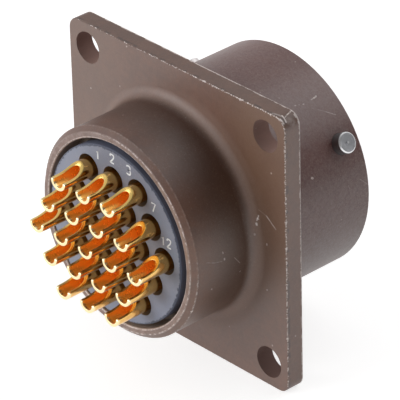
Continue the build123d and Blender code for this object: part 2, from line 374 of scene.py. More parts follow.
def solderSideTones(coat):
    tone = coat.total(coat.product(coat.cloud, 0.5), coat.product(coat.mottle, 0.5))
    colour = coat.blend(coat.ease(tone, 0.38, 0.62), shellCoat["dark"], shellCoat["light"])

    # Painted shade: the coat is darker towards the root of the collar, where the flange shades it
    shadeTowardsRoot = coat.product(coat.step(coat.y, "rootRear"), coat.step(coat.y, "rootFront"),
                               coat.ease(coat.cloud, 0.2, 0.8, 0.75, 1.0))
    colour = coat.blend(shadeTowardsRoot, colour, shellCoat["paintedShade"])

    # Painted shade and warm reflected light: the collar is browner and darker than the rest, and darker still
    # on top; painted highlight: its fillet is paler where it faces the light
    colour = coat.blend(coat.onCollar, colour, shellCoat["collar"], "MULTIPLY")
    onTop = coat.product(coat.onCollar, coat.ease(coat.upwards, 0.2, 0.8))
    colour = coat.blend(onTop, colour, shellCoat["collarTop"], "MULTIPLY")
    colour = coat.blend(coat.onFillet, colour, shellCoat["fillet"])

    # Painted light: the narrow wall round the insert is a paler brown; painted shade darkens the coat round
    # the bayonet pins
    onWall = coat.ease(coat.radius, shellCoat["boreRadius"] + 0.06, shellCoat["boreRadius"] + 0.02)
    colour = coat.blend(coat.product(onWall, coat.step(coat.y, "insertWall")), colour, shellCoat["bore"])
    # Painted shade round each bayonet pin, darkest next to it
    for turn in pinTurns:
        fromPin = coat.vector("DISTANCE", coat.place, pinPoint(turn, shellCoat["barrelRadius"]))
        shadeNearPin = coat.step(fromPin, "pinShade", 0.0, shellCoat["pinShadeShare"])
        colour = coat.blend(shadeNearPin, colour, shellCoat["paintedShade"])

    # Painted warm reflected light on the solder side of the flange, on the right of the collar
    paintedWarmLight = coat.product(coat.step(coat.x, "warmAcross"), coat.step(coat.z, "warmUp"),
                          coat.onFlange, coat.ease(coat.cloud, 0.3, 0.7, 0.75, 1.0))
    return coat.blend(paintedWarmLight, colour, shellCoat["warm"])

def barrelTones(coat, colour):
    # The barrel is redder, and its side is darker and greyer, painted shade; bloom lies on the whole shell,
    # with more grain on the barrel
    colour = coat.blend(coat.product(coat.onBarrel, shellCoat["barrelShare"]), colour, shellCoat["barrel"])
    paintedSide = coat.product(coat.onBarrel, coat.ease(coat.upwards, 0.6, 0.2), shellCoat["barrelSideShare"])
    colour = coat.blend(paintedSide, colour, shellCoat["barrelSide"])
    bloom = coat.total(coat.ease(coat.grain, 0.32, 0.68), coat.ease(coat.pattern("blotch"), 0.32, 0.68),
                       coat.ease(coat.fine, 0.4, 0.7))
    grainy = coat.product(coat.onBarrel, coat.step(coat.z, "grainUp", *shellCoat["bloomGrain"]))
    # Painted sheen and shade by which way the barrel faces: paler high up and underneath, darker lower on its
    # side
    sheenBands = [coat.product(coat.near(coat.upwards, centre, width), strength)
             for centre, width, strength in shellCoat["paintedSheenBands"]]
    evened = coat.calc("MULTIPLY_ADD", grainy, -shellCoat["bloomMean"], shellCoat["bloomBase"])
    sheenAndGrainMean = coat.total(*sheenBands, coat.step(coat.upwards, "paintedSheenBelow"), evened)
    strength = coat.total(grainy, shellCoat["bloom"])
    bloom = coat.calc("MULTIPLY_ADD", bloom, strength, coat.product(coat.onBarrel, sheenAndGrainMean))
    return coat.blend(1.0, colour, bloom, "ADD")

def dustAndHoles(coat, colour):
    # Painted light: the left of the flange, towards the light, is a little paler
    paintedLightLeft = coat.product(coat.onFlange, coat.step(coat.x, "paintedLightAcross"), shellCoat["paintedLightShare"])
    colour = coat.blend(paintedLightLeft, colour, shellCoat["paleDustAndLight"])

    # Dust lies as pale grains, less of it on the flange and most of it on the barrel
    dustyAndPaintedLight = coat.product(coat.ease(coat.fine, 0.57, 0.7), coat.ease(coat.mottle, 0.42, 0.62, 0.08, 0.45),
                         coat.ease(coat.minus(1.0, coat.onFlange), 0.0, 1.0, 0.3, 1.0),
                         coat.step(coat.y, "barrelFrom", 1.0, 1.8))
    colour = coat.blend(dustyAndPaintedLight, colour, shellCoat["paleDustAndLight"])

    # The walls of the mounting holes are dull and greyer, the upper ones paler
    upper = coat.step(coat.z, "holeUp")
    holeWall = coat.blend(upper, shellCoat["holeLow"], shellCoat["holeHigh"])
    return coat.blend(coat.inHole, colour, holeWall)

def flangeDepth(coat):
    # Depth in from the flange's rounded square: corner radius - distance past the corner's centre lines
    inset = flangeHalf - shellCoat["cornerRadius"]
    pastX, pastZ = (coat.minus(coat.absolute(along), inset) for along in (coat.x, coat.z))
    roundPart = coat.hypotenuse(coat.largest(pastX, 0.0), coat.largest(pastZ, 0.0))
    flatPart = coat.calc("MINIMUM", coat.largest(pastX, pastZ), 0.0)
    return coat.minus(coat.minus(shellCoat["cornerRadius"], roundPart), flatPart)

def flangeWear(coat):
    # Front edge: dashes that grow denser towards the right, with larger chips
    depth = flangeDepth(coat)
    dense = coat.total(coat.step(coat.x, "denseAcross"), coat.step(coat.z, "denseUp"))
    dashes = coat.product(coat.ease(coat.total(coat.pattern("dashes"), dense), 0.45, 0.52),
                          coat.ease(coat.fine, 0.38, 0.6, 0.0, shellCoat["dashReach"]))
    chips = coat.ease(coat.total(coat.pattern("chips"), dense), 0.61, 0.67, 0.0, shellCoat["chipReach"])
    front = coat.ease(coat.minus(coat.total(dashes, chips), coat.largest(depth, coat.y)), 0.0, 0.03)

    # Dark notches on the flange's side, just behind that edge
    notches = coat.product(coat.near(coat.y, 0.2, 0.22), coat.ease(depth, 0.2, 0.1),
                           coat.ease(coat.pattern("notches"), 0.5, 0.55))

    # Back edge: a thin pale line with few breaks
    backGap = coat.largest(depth, coat.minus(flangeThick, coat.y))
    reach = coat.ease(coat.pattern("backBreaks"), 0.4, 0.6, *shellCoat["backReach"])
    back = coat.product(coat.ease(coat.minus(reach, backGap), 0.0, 0.05),
                        coat.ease(coat.fine, 0.3, 0.6, 0.6, 1.0))
    return front, back, notches

def rimWear(coat):
    # Lines on the rim of the collar: its bore edge, the start of its bevel and the shoulder behind that
    behindRim = coat.minus(coat.y, rimStation)
    dots = coat.pattern("dots")
    upperRight = coat.total(coat.product(coat.sideways, 0.8), coat.product(coat.upwards, 0.6))

    def rimLine(radius, width):
        fromLine = coat.largest(coat.absolute(coat.minus(coat.radius, radius)), behindRim)
        return coat.near(fromLine, 0.0, width)

    bevelRadius = shellCoat["collarRadius"] - shellCoat["rimBreak"]
    bevel = coat.product(rimLine(bevelRadius - shellCoat["bevelInset"], shellCoat["rimLine"]),
                         coat.ease(coat.sideways, -0.4, 0.2, 0.1, 0.7),
                         coat.ease(dots, 0.45, 0.58, 0.05, 1.0))
    bore = coat.product(rimLine(shellCoat["boreRadius"] + shellCoat["boreInset"], shellCoat["boreLine"]),
                        coat.ease(upperRight, 0.9, 0.3, 0.45, 0.9),
                        coat.ease(dots, 0.4, 0.55, 0.3, 1.0))
    fromShoulder = coat.largest(coat.minus(shellCoat["collarRadius"], coat.radius),
                                coat.absolute(coat.minus(behindRim, shellCoat["rimBreak"])))
    shoulder = coat.product(coat.near(fromShoulder, 0.0, shellCoat["rimLine"]),
                            coat.ease(coat.upwards, 0.3, -0.3, 0.12, 0.6),
                            coat.ease(dots, 0.47, 0.6, 0.12, 1.0))
    pale = coat.product(coat.near(behindRim, 0.0, shellCoat["rimLine"]),
                        coat.ease(coat.mottle, 0.35, 0.65, 0.08, 0.22))
    return coat.largest(bevel, bore, shoulder), pale

def mouthWear(coat):
    # Outer edge of the barrel's mouth
    gap = coat.largest(coat.minus(shellCoat["barrelRadius"], coat.radius), coat.minus(shellHigh[1], coat.y))
    return coat.product(coat.step(gap, "mouthReach"), coat.ease(coat.pattern("mouth"), 0.42, 0.6, 0.25, 0.85))

def smallNicks(coat):
    # Small nicks over every face: a dot at the middle of some of the cells
    cells = coat.add("ShaderNodeTexVoronoi")
    coat.link(coat.place, cells.inputs["Vector"])
    cells.inputs["Scale"].default_value = shellCoat["nicksPerMm"]
    return coat.product(coat.ease(cells.outputs["Distance"], 0.07, 0.03),
                        coat.ease(coat.pattern("nickFields"), 0.54, 0.58), shellCoat["nickStrength"])

def makeShellCoat():
    coat = ShellFinish()
    colour = solderSideTones(coat)
    colour = barrelTones(coat, colour)
    colour = dustAndHoles(coat, colour)
    front, back, notches = flangeWear(coat)
    rim, rimPale = rimWear(coat)
    marks = coat.product(coat.strokes(shellMarks), coat.ease(coat.pattern("broken"), 0.38, 0.52, 0.35, 1.0))
    worn = coat.largest(front, rim, mouthWear(coat), smallNicks(coat), marks)
    colour = coat.blend(coat.largest(notches, coat.strokes(shellCuts)), colour, shellCoat["notch"])
    colour = coat.blend(coat.largest(back, rimPale), colour, shellCoat["blush"])
    colour = coat.blend(worn, colour, shellCoat["bare"])

    spread = shellCoat["roughSpread"]
    roughness = coat.total(shellCoat["roughness"] - spread / 2, coat.product(coat.mottle, spread),
                           coat.product(coat.onFillet, shellCoat["dullFillet"]))
    roughness = coat.calc("MULTIPLY_ADD", coat.inHole, shellCoat["dullHole"], roughness)
    relief = coat.bump(coat.fine, shellCoat["fineRelief"])
    height = coat.minus(coat.grain, coat.product(worn, shellCoat["wornSmooth"]))
    relief = coat.bump(height, shellCoat["grainRelief"], relief)
    coat.put(Base_Color=colour, Roughness=roughness, IOR=shellCoat["index"], Normal=relief)
    return coat

dress("shell", makeShellCoat())
print("shell coat made")

# Bayonet pins: turned steel, satin, with rings on the head, painted highlights on the head's edge and centre
# nib, and painted light on the side: shade on the first and third, a pale sheen on the second, behind the
# flange
pinSteel = {
    "dark": (0.58, 0.585, 0.61), "light": (0.74, 0.745, 0.78),
    "edge": (0.85, 0.85, 0.86), "nib": (0.9, 0.9, 0.92),
    "sides": ((0.3, 0.3, 0.31), (0.93, 0.88, 0.88), (0.3, 0.3, 0.31)),
    "radius": 1.0, "edgeBand": 0.05, "edgeWidth": 0.11, "nibRadius": 0.17,
    "ringsPerMm": 4.0, "ringDepth": 0.004, "grainPerMm": 14.0, "grainDepth": 0.003, "roughness": (0.37, 0.5),
}

def makePinSteel(number, turn):
    steel = Finish(f"pinSteel{number}")
    stain = steel.noise(1.1, 4, 0.6)
    outward = pinOutward(turn)
    away = steel.vector("SUBTRACT", steel.place, pinPoint(turn, 0.0))
    height = steel.vector("DOT_PRODUCT", away, outward)
    onAxis = steel.vector("SCALE", outward, scale=height)
    aside = steel.vector("LENGTH", steel.vector("SUBTRACT", away, onAxis))
    colour = steel.blend(steel.ease(stain, 0.35, 0.7), pinSteel["dark"], pinSteel["light"])
    # Painted highlights: a broken bright line round the head's edge, and a bright centre nib
    edge = steel.product(steel.near(aside, pinSteel["radius"] - pinSteel["edgeBand"], pinSteel["edgeWidth"]),
                         steel.ease(steel.noise(3.0, 3), 0.3, 0.45, 0.6, 1.0))
    colour = steel.blend(edge, colour, pinSteel["edge"])
    colour = steel.blend(steel.near(aside, 0.0, pinSteel["nibRadius"]), colour, pinSteel["nib"])
    # Painted shade on the side of the first and third pin, a painted pale sheen on the second's
    paintedSide = steel.ease(aside, pinSteel["radius"] - 0.02, pinSteel["radius"] - 0.005)
    colour = steel.blend(paintedSide, colour, pinSteel["sides"][number - 1])
    rings = steel.calc("COSINE", steel.product(aside, 2 * math.pi * pinSteel["ringsPerMm"]))
    relief = steel.bump(rings, pinSteel["ringDepth"] / 2)
    relief = steel.bump(steel.noise(pinSteel["grainPerMm"], 2), pinSteel["grainDepth"], relief)
    roughness = steel.ease(stain, 0.3, 0.7, *pinSteel["roughness"])
    steel.put(Base_Color=colour, Metallic=1.0, Roughness=roughness, Normal=relief)
    return steel

for number, turn in enumerate(pinTurns, start=1):
    dress(f"bayonet_pin_{number}", makePinSteel(number, turn))

# Retaining ring: spring steel in a pale brown, painted light in the gap round the insert
ringSteel = {"dark": (0.42, 0.33, 0.27), "light": (0.6, 0.48, 0.4), "metal": 0.3, "roughness": (0.3, 0.45),
             "relief": 0.006}

def makeRingSteel():
    steel = Finish("ringSteel")
    stain = steel.noise(0.7, 4)
    colour = steel.blend(steel.ease(stain, 0.35, 0.7), ringSteel["dark"], ringSteel["light"])
    steel.put(Base_Color=colour, Metallic=ringSteel["metal"],
              Roughness=steel.ease(stain, 0.3, 0.7, *ringSteel["roughness"]),
              Normal=steel.bump(steel.noise(8.0, 3), ringSteel["relief"]))
    return steel

dress("retaining_ring", makeRingSteel())

# Insert: blue-grey rubber with a moulded skin; the sides below its face are darker, painted shade
insertRubber = {
    "faceTop": (0.24, 0.255, 0.32), "faceMiddle": (0.267, 0.292, 0.362), "faceLow": (0.31, 0.345, 0.46),
    "faceLeft": (0.31, 0.34, 0.44), "side": (0.155, 0.175, 0.25), "dustyAndPaintedLight": (0.36, 0.3, 0.27),
    "edge": (0.05, 0.06, 0.1), "pocket": (0.24, 0.195, 0.15), "scratch": (0.42, 0.44, 0.5),
    "rimRadius": 8.77, "rimBand": (0.2, 0.12), "pocketReach": (8.2, 8.3), "ragged": 0.9,
    # Heights and places across between which the face's colours change, and depths below the face
    "topUntil": (7.5, 1.0), "lowFrom": (0.0, -6.0), "leftFrom": (0.0, -6.0), "cloudLean": 6.0,
    "sideFrom": (0.04, 0.12), "paleGapFrom": (0.9, 1.6),
    "skinShare": 0.25, "scratchShare": 0.35, "edgeShare": 0.85,
    "skinRelief": 0.01, "waveRelief": 0.03, "roughness": (0.45, 0.58),
}

def makeInsertRubber():
    rubber = Finish("insertRubber")
    cloud = rubber.noise(0.35, 3)
    skin = rubber.noise(6.0, 4, 0.6)
    radius = rubber.fromAxis()

    # The face is paler towards its left and its foot and darker at its top, painted light and the cups'
    # painted shadow, with fine scratches across it
    lean = rubber.total(rubber.z, rubber.product(rubber.minus(cloud, 0.5), insertRubber["cloudLean"]))
    belowTop = rubber.ease(lean, *insertRubber["topUntil"])
    face = rubber.blend(belowTop, insertRubber["faceTop"], insertRubber["faceMiddle"])
    face = rubber.blend(rubber.ease(lean, *insertRubber["lowFrom"]), face, insertRubber["faceLow"])
    face = rubber.blend(rubber.ease(rubber.x, *insertRubber["leftFrom"]), face, insertRubber["faceLeft"])
    grains = rubber.product(rubber.ease(skin, 0.55, 0.72), insertRubber["skinShare"])
    face = rubber.blend(grains, face, insertRubber["scratch"])
    fibre = rubber.noise(1.2, 4, 0.6, stretch=(0.5, 1.0, 3.0))
    scratch = rubber.product(rubber.near(fibre, 0.5, 0.012), rubber.ease(cloud, 0.45, 0.6),
                             insertRubber["scratchShare"])
    face = rubber.blend(scratch, face, insertRubber["scratch"])

    # Painted shade: a dark, ragged edge and dark sides below the face; painted light: a pale brown deeper in
    # the gap round the insert, and a golden brown in the pockets
    ragged = rubber.product(rubber.minus(rubber.noise(2.6, 5, 0.75), 0.5), insertRubber["ragged"])
    edge = rubber.ease(rubber.total(radius, ragged),
                       *(insertRubber["rimRadius"] - band for band in insertRubber["rimBand"]))
    outside = rubber.ease(radius, *insertRubber["pocketReach"])
    below, deep = rubber.pastFace(insertRubber["sideFrom"]), rubber.pastFace(insertRubber["paleGapFrom"])
    colour = rubber.blend(rubber.product(edge, insertRubber["edgeShare"]), face, insertRubber["edge"])
    colour = rubber.blend(below, colour, rubber.blend(outside, insertRubber["pocket"], insertRubber["side"]))
    colour = rubber.blend(rubber.product(outside, deep), colour, insertRubber["dustyAndPaintedLight"])
    relief = rubber.bump(skin, insertRubber["skinRelief"])
    relief = rubber.bump(rubber.noise(0.8, 2), insertRubber["waveRelief"], relief)
    roughness = rubber.ease(cloud, 0.3, 0.7, *insertRubber["roughness"])
    rubber.put(Base_Color=colour, Roughness=roughness, Normal=relief)
    return rubber

dress("rear_insulator", makeInsertRubber())

# Seal on the mating side: much the same rubber, with pale grains on its skin
sealRubber = {"dark": (0.2, 0.22, 0.27), "light": (0.27, 0.29, 0.34), "grains": (0.36, 0.37, 0.4),
              "grainShare": 0.2, "roughness": (0.45, 0.6), "relief": 0.012}

def makeSealRubber():
    rubber = Finish("sealRubber")
    cloud = rubber.noise(0.4, 3)
    skin = rubber.noise(6.0, 4, 0.6)
    colour = rubber.blend(rubber.ease(cloud, 0.35, 0.65), sealRubber["dark"], sealRubber["light"])
    grains = rubber.product(rubber.ease(skin, 0.58, 0.78), sealRubber["grainShare"])
    colour = rubber.blend(grains, colour, sealRubber["grains"])
    rubber.put(Base_Color=colour, Roughness=rubber.ease(cloud, 0.3, 0.7, *sealRubber["roughness"]),
               Normal=rubber.bump(skin, sealRubber["relief"]))
    return rubber

dress("interfacial_seal", makeSealRubber())

# Hard plastics inside: the wafer and the front insulator
hardPlastic = {"waferPlastic": ((0.1, 0.09, 0.08), (0.15, 0.135, 0.12)),
               "insertPlastic": ((0.13, 0.14, 0.17), (0.18, 0.19, 0.22)),
               "roughness": (0.42, 0.55), "relief": 0.008}

def makeHardPlastic(name):
    plastic = Finish(name)
    flow = plastic.noise(0.5, 4, 0.6, stretch=(1.0, 0.4, 1.0))
    colour = plastic.blend(plastic.ease(flow, 0.35, 0.65), *hardPlastic[name])
    plastic.put(Base_Color=colour, Roughness=plastic.ease(flow, 0.3, 0.7, *hardPlastic["roughness"]),
                Normal=plastic.bump(plastic.noise(5.0, 3), hardPlastic["relief"]))
    return plastic

dress("contact_wafer", makeHardPlastic("waferPlastic"))
dress("front_insulator", makeHardPlastic("insertPlastic"))
print("pins, ring and insert finished")

# Contacts: gold-plated turned pieces with a solder cup cut open along the top
contactShape = {
    "cupRadius": 0.95, "cupWall": 0.31, "boreDepth": 4.0, "boreCone": 0.385,
    "cutHeight": 0.05, "cutFlat": 0.9, "cutRadius": 2.4, "cutReach": 2.5,
    "shoulderRadius": 1.25, "shoulderLength": 0.8, "waferFront": 1.15, "stemRadius": 0.75, "sealRear": 5.55,
    "pinRadius": 0.51, "noseLength": 0.4, "noseRadius": 0.25, "edgeRound": 0.05, "cornerSoft": 0.03,
    # Points round half a contact and rows of points along it
    "halfColumns": 44, "outsideRows": 5, "cutRows": 12, "edgeRows": 6, "boreRows": 10, "softPasses": 3,
    # Measured from the insert's face: where the outside's even rows begin in it, where they end before it,
    # and where the bore's even rows end before it
    "outsideFrom": 0.9, "outsideUntil": 0.2, "boreUntil": 0.55,
    # Degrees by which a contact may be turned, and the angle from which an edge is sharp
    "turnSpread": 5.0, "sharpAngle": 40,
}

def softened(path, passes):
    # Moving average: half of each point and a quarter of both neighbours, the path mirrored at both ends
    for _ in range(passes):
        before = path[:, 1:2] * [[-1], [1]]
        after = path[:, -2:-1] * [[-1], [1]] + [[2 * math.pi], [0]]
        padded = np.concatenate([before, path, after], axis=1)
        path = (padded[:, :-2] + 2 * padded[:, 1:-1] + padded[:, 2:]) / 4
    return path

def rimPath(radius):
    # Half of the cup's rim on a cylinder of this radius, from the bottom of the mouth to the top of the cut.
    # It runs round the mouth to the cut, straight along the cut, and then up an arc of radius R:
    # y = start + sqrt(R^2 - (R - rise)^2)
    shape = contactShape
    corner = math.pi / 2 + math.asin(shape["cutHeight"] / radius)
    legs = np.cumsum([0, corner * shape["cupRadius"], shape["cutFlat"], shape["cutReach"]])
    along = np.linspace(0, legs[-1], shape["halfColumns"])
    turn = np.interp(along, legs, [0, corner, corner, math.pi])
    rise = np.clip(-radius * np.cos(turn) - shape["cutHeight"], 0, None)
    lift = np.sqrt(shape["cutRadius"] ** 2 - (shape["cutRadius"] - rise) ** 2)
    flat = np.interp(along, legs, [0, 0, shape["cutFlat"], shape["cutFlat"]])
    path = softened(np.array([turn, cupMouth + flat + lift]), shape["softPasses"])
    step = np.gradient(np.array([path[0] * radius, path[1]]), axis=1)
    step[:, 0] = step[:, -1] = (1, 0)
    step /= np.linalg.norm(step, axis=0)
    inward = np.array([-step[1] / radius, step[0]])
    return path, inward

def bend(first, corner, last, count):
    # Points of a quadratic curve drawn to the corner: (1 - t)^2 first + 2 t (1 - t) corner + t^2 last
    return [(1 - t) ** 2 * first + 2 * t * (1 - t) * corner + t ** 2 * last for t in np.linspace(0, 1, count)]

def between(first, last, count):
    # Points spread evenly on the straight run, without its first one: first + t (last - first)
    return [first + (last - first) * t for t in np.linspace(0, 1, count)[1:]]

def contactGrid():
    # Rows run from the tip of the mating pin back over the outside, round the cup's rim and down its bore.
    # Each row is (radius, turn, station) for every column; columns go from the bottom of the cup to its top.
    # Each row has a zone: 0 on the outside, 1 on the rim and 2 in the bore
    shape = contactShape
    even = np.linspace(0, math.pi, shape["halfColumns"])
    full = np.ones(shape["halfColumns"])

    def ring(radius, station):
        return np.array([full * radius, even, full * station])

    outer, inner = shape["cupRadius"], shape["cupRadius"] - shape["cupWall"]
    shoulderFront, shoulderRear = shape["waferFront"], shape["waferFront"] - shape["shoulderLength"]
    outsideStart, outsideEnd = faceStation + shape["outsideFrom"], faceStation - shape["outsideUntil"]
    profile = np.array([
        (0.0, contactTip), (shape["noseRadius"], contactTip),
        (shape["pinRadius"], contactTip - shape["noseLength"]), (shape["pinRadius"], shape["sealRear"]),
        (shape["stemRadius"], shape["sealRear"]), (shape["stemRadius"], shoulderFront),
        (shape["shoulderRadius"], shoulderFront), (shape["shoulderRadius"], shoulderRear),
        (outer, shoulderRear), (outer, outsideStart)])
    outside = [ring(*profile[0])]
    for before, corner, after in zip(profile[:-2], profile[1:-1], profile[2:]):
        enter = corner + (before - corner) / np.linalg.norm(before - corner) * shape["cornerSoft"]
        leave = corner + (after - corner) / np.linalg.norm(after - corner) * shape["cornerSoft"]
        outside += [ring(*point) for point in bend(enter, corner, leave, 3)]
    stations = np.linspace(outsideStart, outsideEnd, shape["outsideRows"])
    outside += [ring(outer, station) for station in stations]

    # The rim is flat between two rounded edges, each bent from its own wall to the flat
    rim, inward = rimPath(outer)
    bore, boreInward = rimPath(inner)
    rimEdge = np.array([full * outer, *rim])
    rimBack = np.array([full * outer, *(rim + inward * shape["edgeRound"])])
    boreEdge = np.array([full * inner, *bore])
    boreBack = np.array([full * inner, *(bore + boreInward * shape["edgeRound"])])
    share = shape["edgeRound"] / np.sqrt((outer - inner) ** 2 + (rim[1] - bore[1]) ** 2)
    outside += between(outside[-1], rimBack, shape["cutRows"])[:-1]
    edges = bend(rimBack, rimEdge, rimEdge + (boreEdge - rimEdge) * share, shape["edgeRows"])
    edges += bend(boreEdge + (rimEdge - boreEdge) * share, boreEdge, boreBack, shape["edgeRows"])

    # Down the bore to its end, and over the cone of the drill to the axis
    boreEnd, cone = cupMouth + shape["boreDepth"], shape["boreCone"]
    down = between(boreBack, ring(inner, faceStation - shape["boreUntil"]), shape["boreRows"])
    down += [ring(inner, boreEnd), ring(inner / 2, boreEnd + cone / 2), ring(0.0, boreEnd + cone)]
    return np.array(outside + edges + down), np.repeat([0, 1, 2], [len(outside), len(edges), len(down)])

def closedMesh(name, points, faces):
    mesh = bpy.data.meshes.new(name)
    mesh.from_pydata(points.tolist(), [], faces)
    mesh.update()
    piece = bpy.data.objects.new(name, mesh)
    bpy.context.collection.objects.link(piece)
    return piece

def gridFaces(rows, columns):
    # A closed skin: a fan at the first pole, closed rows of quads, and a fan at the last pole.
    # Point 0 is the first pole, and row r, column c is point 1 + (r - 1) columns + c
    here = np.arange(columns)
    after = (here + 1) % columns
    start = 1 + np.arange(rows - 3)[:, None] * columns
    quads = np.stack([start + here, start + after, start + columns + after, start + columns + here], axis=-1)
    lastRow = 1 + (rows - 3) * columns
    firstFan = np.stack([0 * here, 1 + after, 1 + here], axis=-1)
    lastFan = np.stack([lastRow + here, lastRow + after, 0 * here + lastRow + columns], axis=-1)
    return firstFan.tolist() + quads.reshape(-1, 4).tolist() + lastFan.tolist()

def makeContact(grid, zones, name, place, turn):
    # x = place + radius sin(angle), z = place - radius cos(angle); one half is mirrored into the other
    radius, angle, station = grid[:, 0], grid[:, 1], grid[:, 2]
    radius = np.concatenate([radius, radius[:, -2:0:-1]], axis=1)
    angle = np.concatenate([angle, -angle[:, -2:0:-1]], axis=1) + turn
    station = np.concatenate([station, station[:, -2:0:-1]], axis=1)
    across, up = place[0] + radius * np.sin(angle), place[1] - radius * np.cos(angle)
    points = np.stack([across, station, up], axis=-1) * mm
    rows, columns = radius.shape
    points = np.concatenate([points[0, :1], points[1:-1].reshape(-1, 3), points[-1, :1]])
    piece = closedMesh(name, points, gridFaces(rows, columns))
    zone = piece.data.attributes.new("zone", "FLOAT", "POINT")
    perPoint = np.concatenate([zones[:1], np.repeat(zones[1:-1], columns), zones[-1:]])
    zone.data.foreach_set("value", perPoint.astype(np.float32))
    return piece

goldPlate = {
    "light": (0.93, 0.58, 0.2), "dark": (0.82, 0.46, 0.14), "tarnish": (0.68, 0.39, 0.12),
    "rim": (1.0, 0.72, 0.24), "rimShare": 0.7, "mouth": (1.0, 0.85, 0.5), "mouthDepth": 0.3,
    "bore": (1.0, 0.53, 0.1),
    "metal": 1.0, "boreMetal": 0.5, "pinMetal": 0.72, "roughness": 0.17, "boreRoughness": 0.26,
    "boreGlow": 0.085, "glowColour": (1.0, 0.15, 0.0), "glowDepth": (2.4, 3.6),
    # Where tarnish comes and goes, from the insert's face, and the stations where the mating pin begins
    "tarnishFrom": (-1.6, 0.2), "tarnishUntil": (3.0, 1.0), "pinFrom": (3.0, 5.0),
    "fineRelief": 0.0004, "waveRelief": 0.0015,
}

def makeGold():
    gold = Finish("contactGold")
    cloud = gold.noise(0.8, 4, 0.6)
    zone = gold.add("ShaderNodeAttribute", attribute_name="zone").outputs["Fac"]
    onRim = gold.ease(zone, 0.0, 0.9)
    inBore = gold.ease(zone, 1.1, 2.0)
    colour = gold.blend(gold.ease(cloud, 0.35, 0.65), goldPlate["dark"], goldPlate["light"])
    tarnish = gold.product(gold.pastFace(goldPlate["tarnishFrom"]), gold.pastFace(goldPlate["tarnishUntil"]),
                           gold.ease(gold.noise(1.7, 4, 0.6), 0.3, 0.6, 0.6, 1.0))
    colour = gold.blend(tarnish, colour, goldPlate["tarnish"])
    # Painted highlight: the rim is a paler gold, palest round the mouth
    colour = gold.blend(gold.product(onRim, goldPlate["rimShare"]), colour, goldPlate["rim"])
    depth = goldPlate["mouthDepth"]
    atMouth = gold.product(onRim, gold.ease(gold.y, cupMouth + depth, cupMouth + depth / 2))
    colour = gold.blend(atMouth, colour, goldPlate["mouth"])
    # Painted light: the bore is a deeper orange than the plating, for light that bounces inside it
    colour = gold.blend(inBore, colour, goldPlate["bore"])
    plain = goldPlate["roughness"]
    roughness = gold.total(gold.ease(cloud, 0.3, 0.7, plain - 0.03, plain + 0.04),
                           gold.product(inBore, goldPlate["boreRoughness"] - plain))
    smooth = gold.minus(1.0, inBore)
    relief = gold.bump(gold.product(gold.noise(6.0, 3), smooth), goldPlate["fineRelief"])
    relief = gold.bump(gold.product(gold.noise(1.2, 2), smooth), goldPlate["waveRelief"], relief)
    metal = gold.product(gold.ease(zone, 1.1, 2.0, goldPlate["metal"], goldPlate["boreMetal"]),
                         gold.ease(gold.y, *goldPlate["pinFrom"], 1.0, goldPlate["pinMetal"]))

    # Light goes to and fro in a real bore more often than the render follows; a little is given back
    shallow, deep = (cupMouth + depth for depth in goldPlate["glowDepth"])
    glow = gold.product(inBore, gold.ease(gold.y, deep, shallow), goldPlate["boreGlow"])
    gold.put(Base_Color=colour, Metallic=metal, Roughness=roughness, Normal=relief,
             Emission_Color=goldPlate["glowColour"], Emission_Strength=glow)
    return gold

goldFinish = makeGold()
wobble = np.random.default_rng(14)
grid, zones = contactGrid()
for name in contactNames:
    turn = math.radians(wobble.uniform(-1, 1) * contactShape["turnSpread"])
    piece = makeContact(grid, zones, name + "_turned", contactPlaces[name], turn)
    mesh = piece.data
    mesh.shade_smooth()
    mesh.set_sharp_from_angle(angle=math.radians(contactShape["sharpAngle"]))
    mesh.materials.append(goldFinish.material)
    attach(piece, "root")
    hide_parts(name)
print("contacts made:", len(contactNames), "of", len(mesh.polygons), "faces")

# Position numbers on the insert: plain digits of thin strokes, a little sunk into its face
numberPrint = {"height": 0.85, "width": 0.52, "pitch": 1.45, "stroke": 0.155, "thick": 0.012, "sunk": 0.005,
               "roundPasses": 3, "colour": (0.96, 0.98, 1.0), "worn": (0.4, 0.42, 0.47), "wornShare": 0.12,
               "relief": 0.006}

# Strokes of each digit in a box 1 by 1; a run is straight or drawn round its middle points
digitStrokes = {
    "1": [[(0.2, 0.78), (0.55, 1), (0.55, 0)]],
    "2": [[(0.05, 0.78), (0.1, 1.02), (0.55, 1.02), (0.98, 0.98), (0.95, 0.62), (0.0, 0.0)],
          [(0.0, 0.0), (1, 0)]],
    "3": [[(0.05, 0.92), (0.4, 1.04), (0.95, 0.98), (0.95, 0.56), (0.4, 0.54)],
          [(0.4, 0.54), (0.98, 0.54), (1.05, 0.06), (0.55, -0.04), (0.02, 0.08)]],
    "7": [[(0, 1), (1, 1), (0.35, 0)]],
}
straightDigits = "17"

# The contacts that have a number, and where its middle lies from the contact's axis: across and up
numberPlaces = {"contact_b": (1.33, 1.8), "contact_a": (-0.02, 2.17), "contact_m": (-1.14, 1.88),
                "contact_l": (0.42, 2.19), "contact_k": (0.31, 2.1)}

def rounded(path, passes):
    # Corner cutting: each pass puts two points on every run, a quarter in from its ends; the path's ends stay
    for _ in range(passes):
        first, last = path[:-1], path[1:]
        cut = np.stack([first * 0.75 + last * 0.25, first * 0.25 + last * 0.75], axis=1).reshape(-1, 2)
        path = np.concatenate([path[:1], cut[1:-1], path[-1:]])
    return path

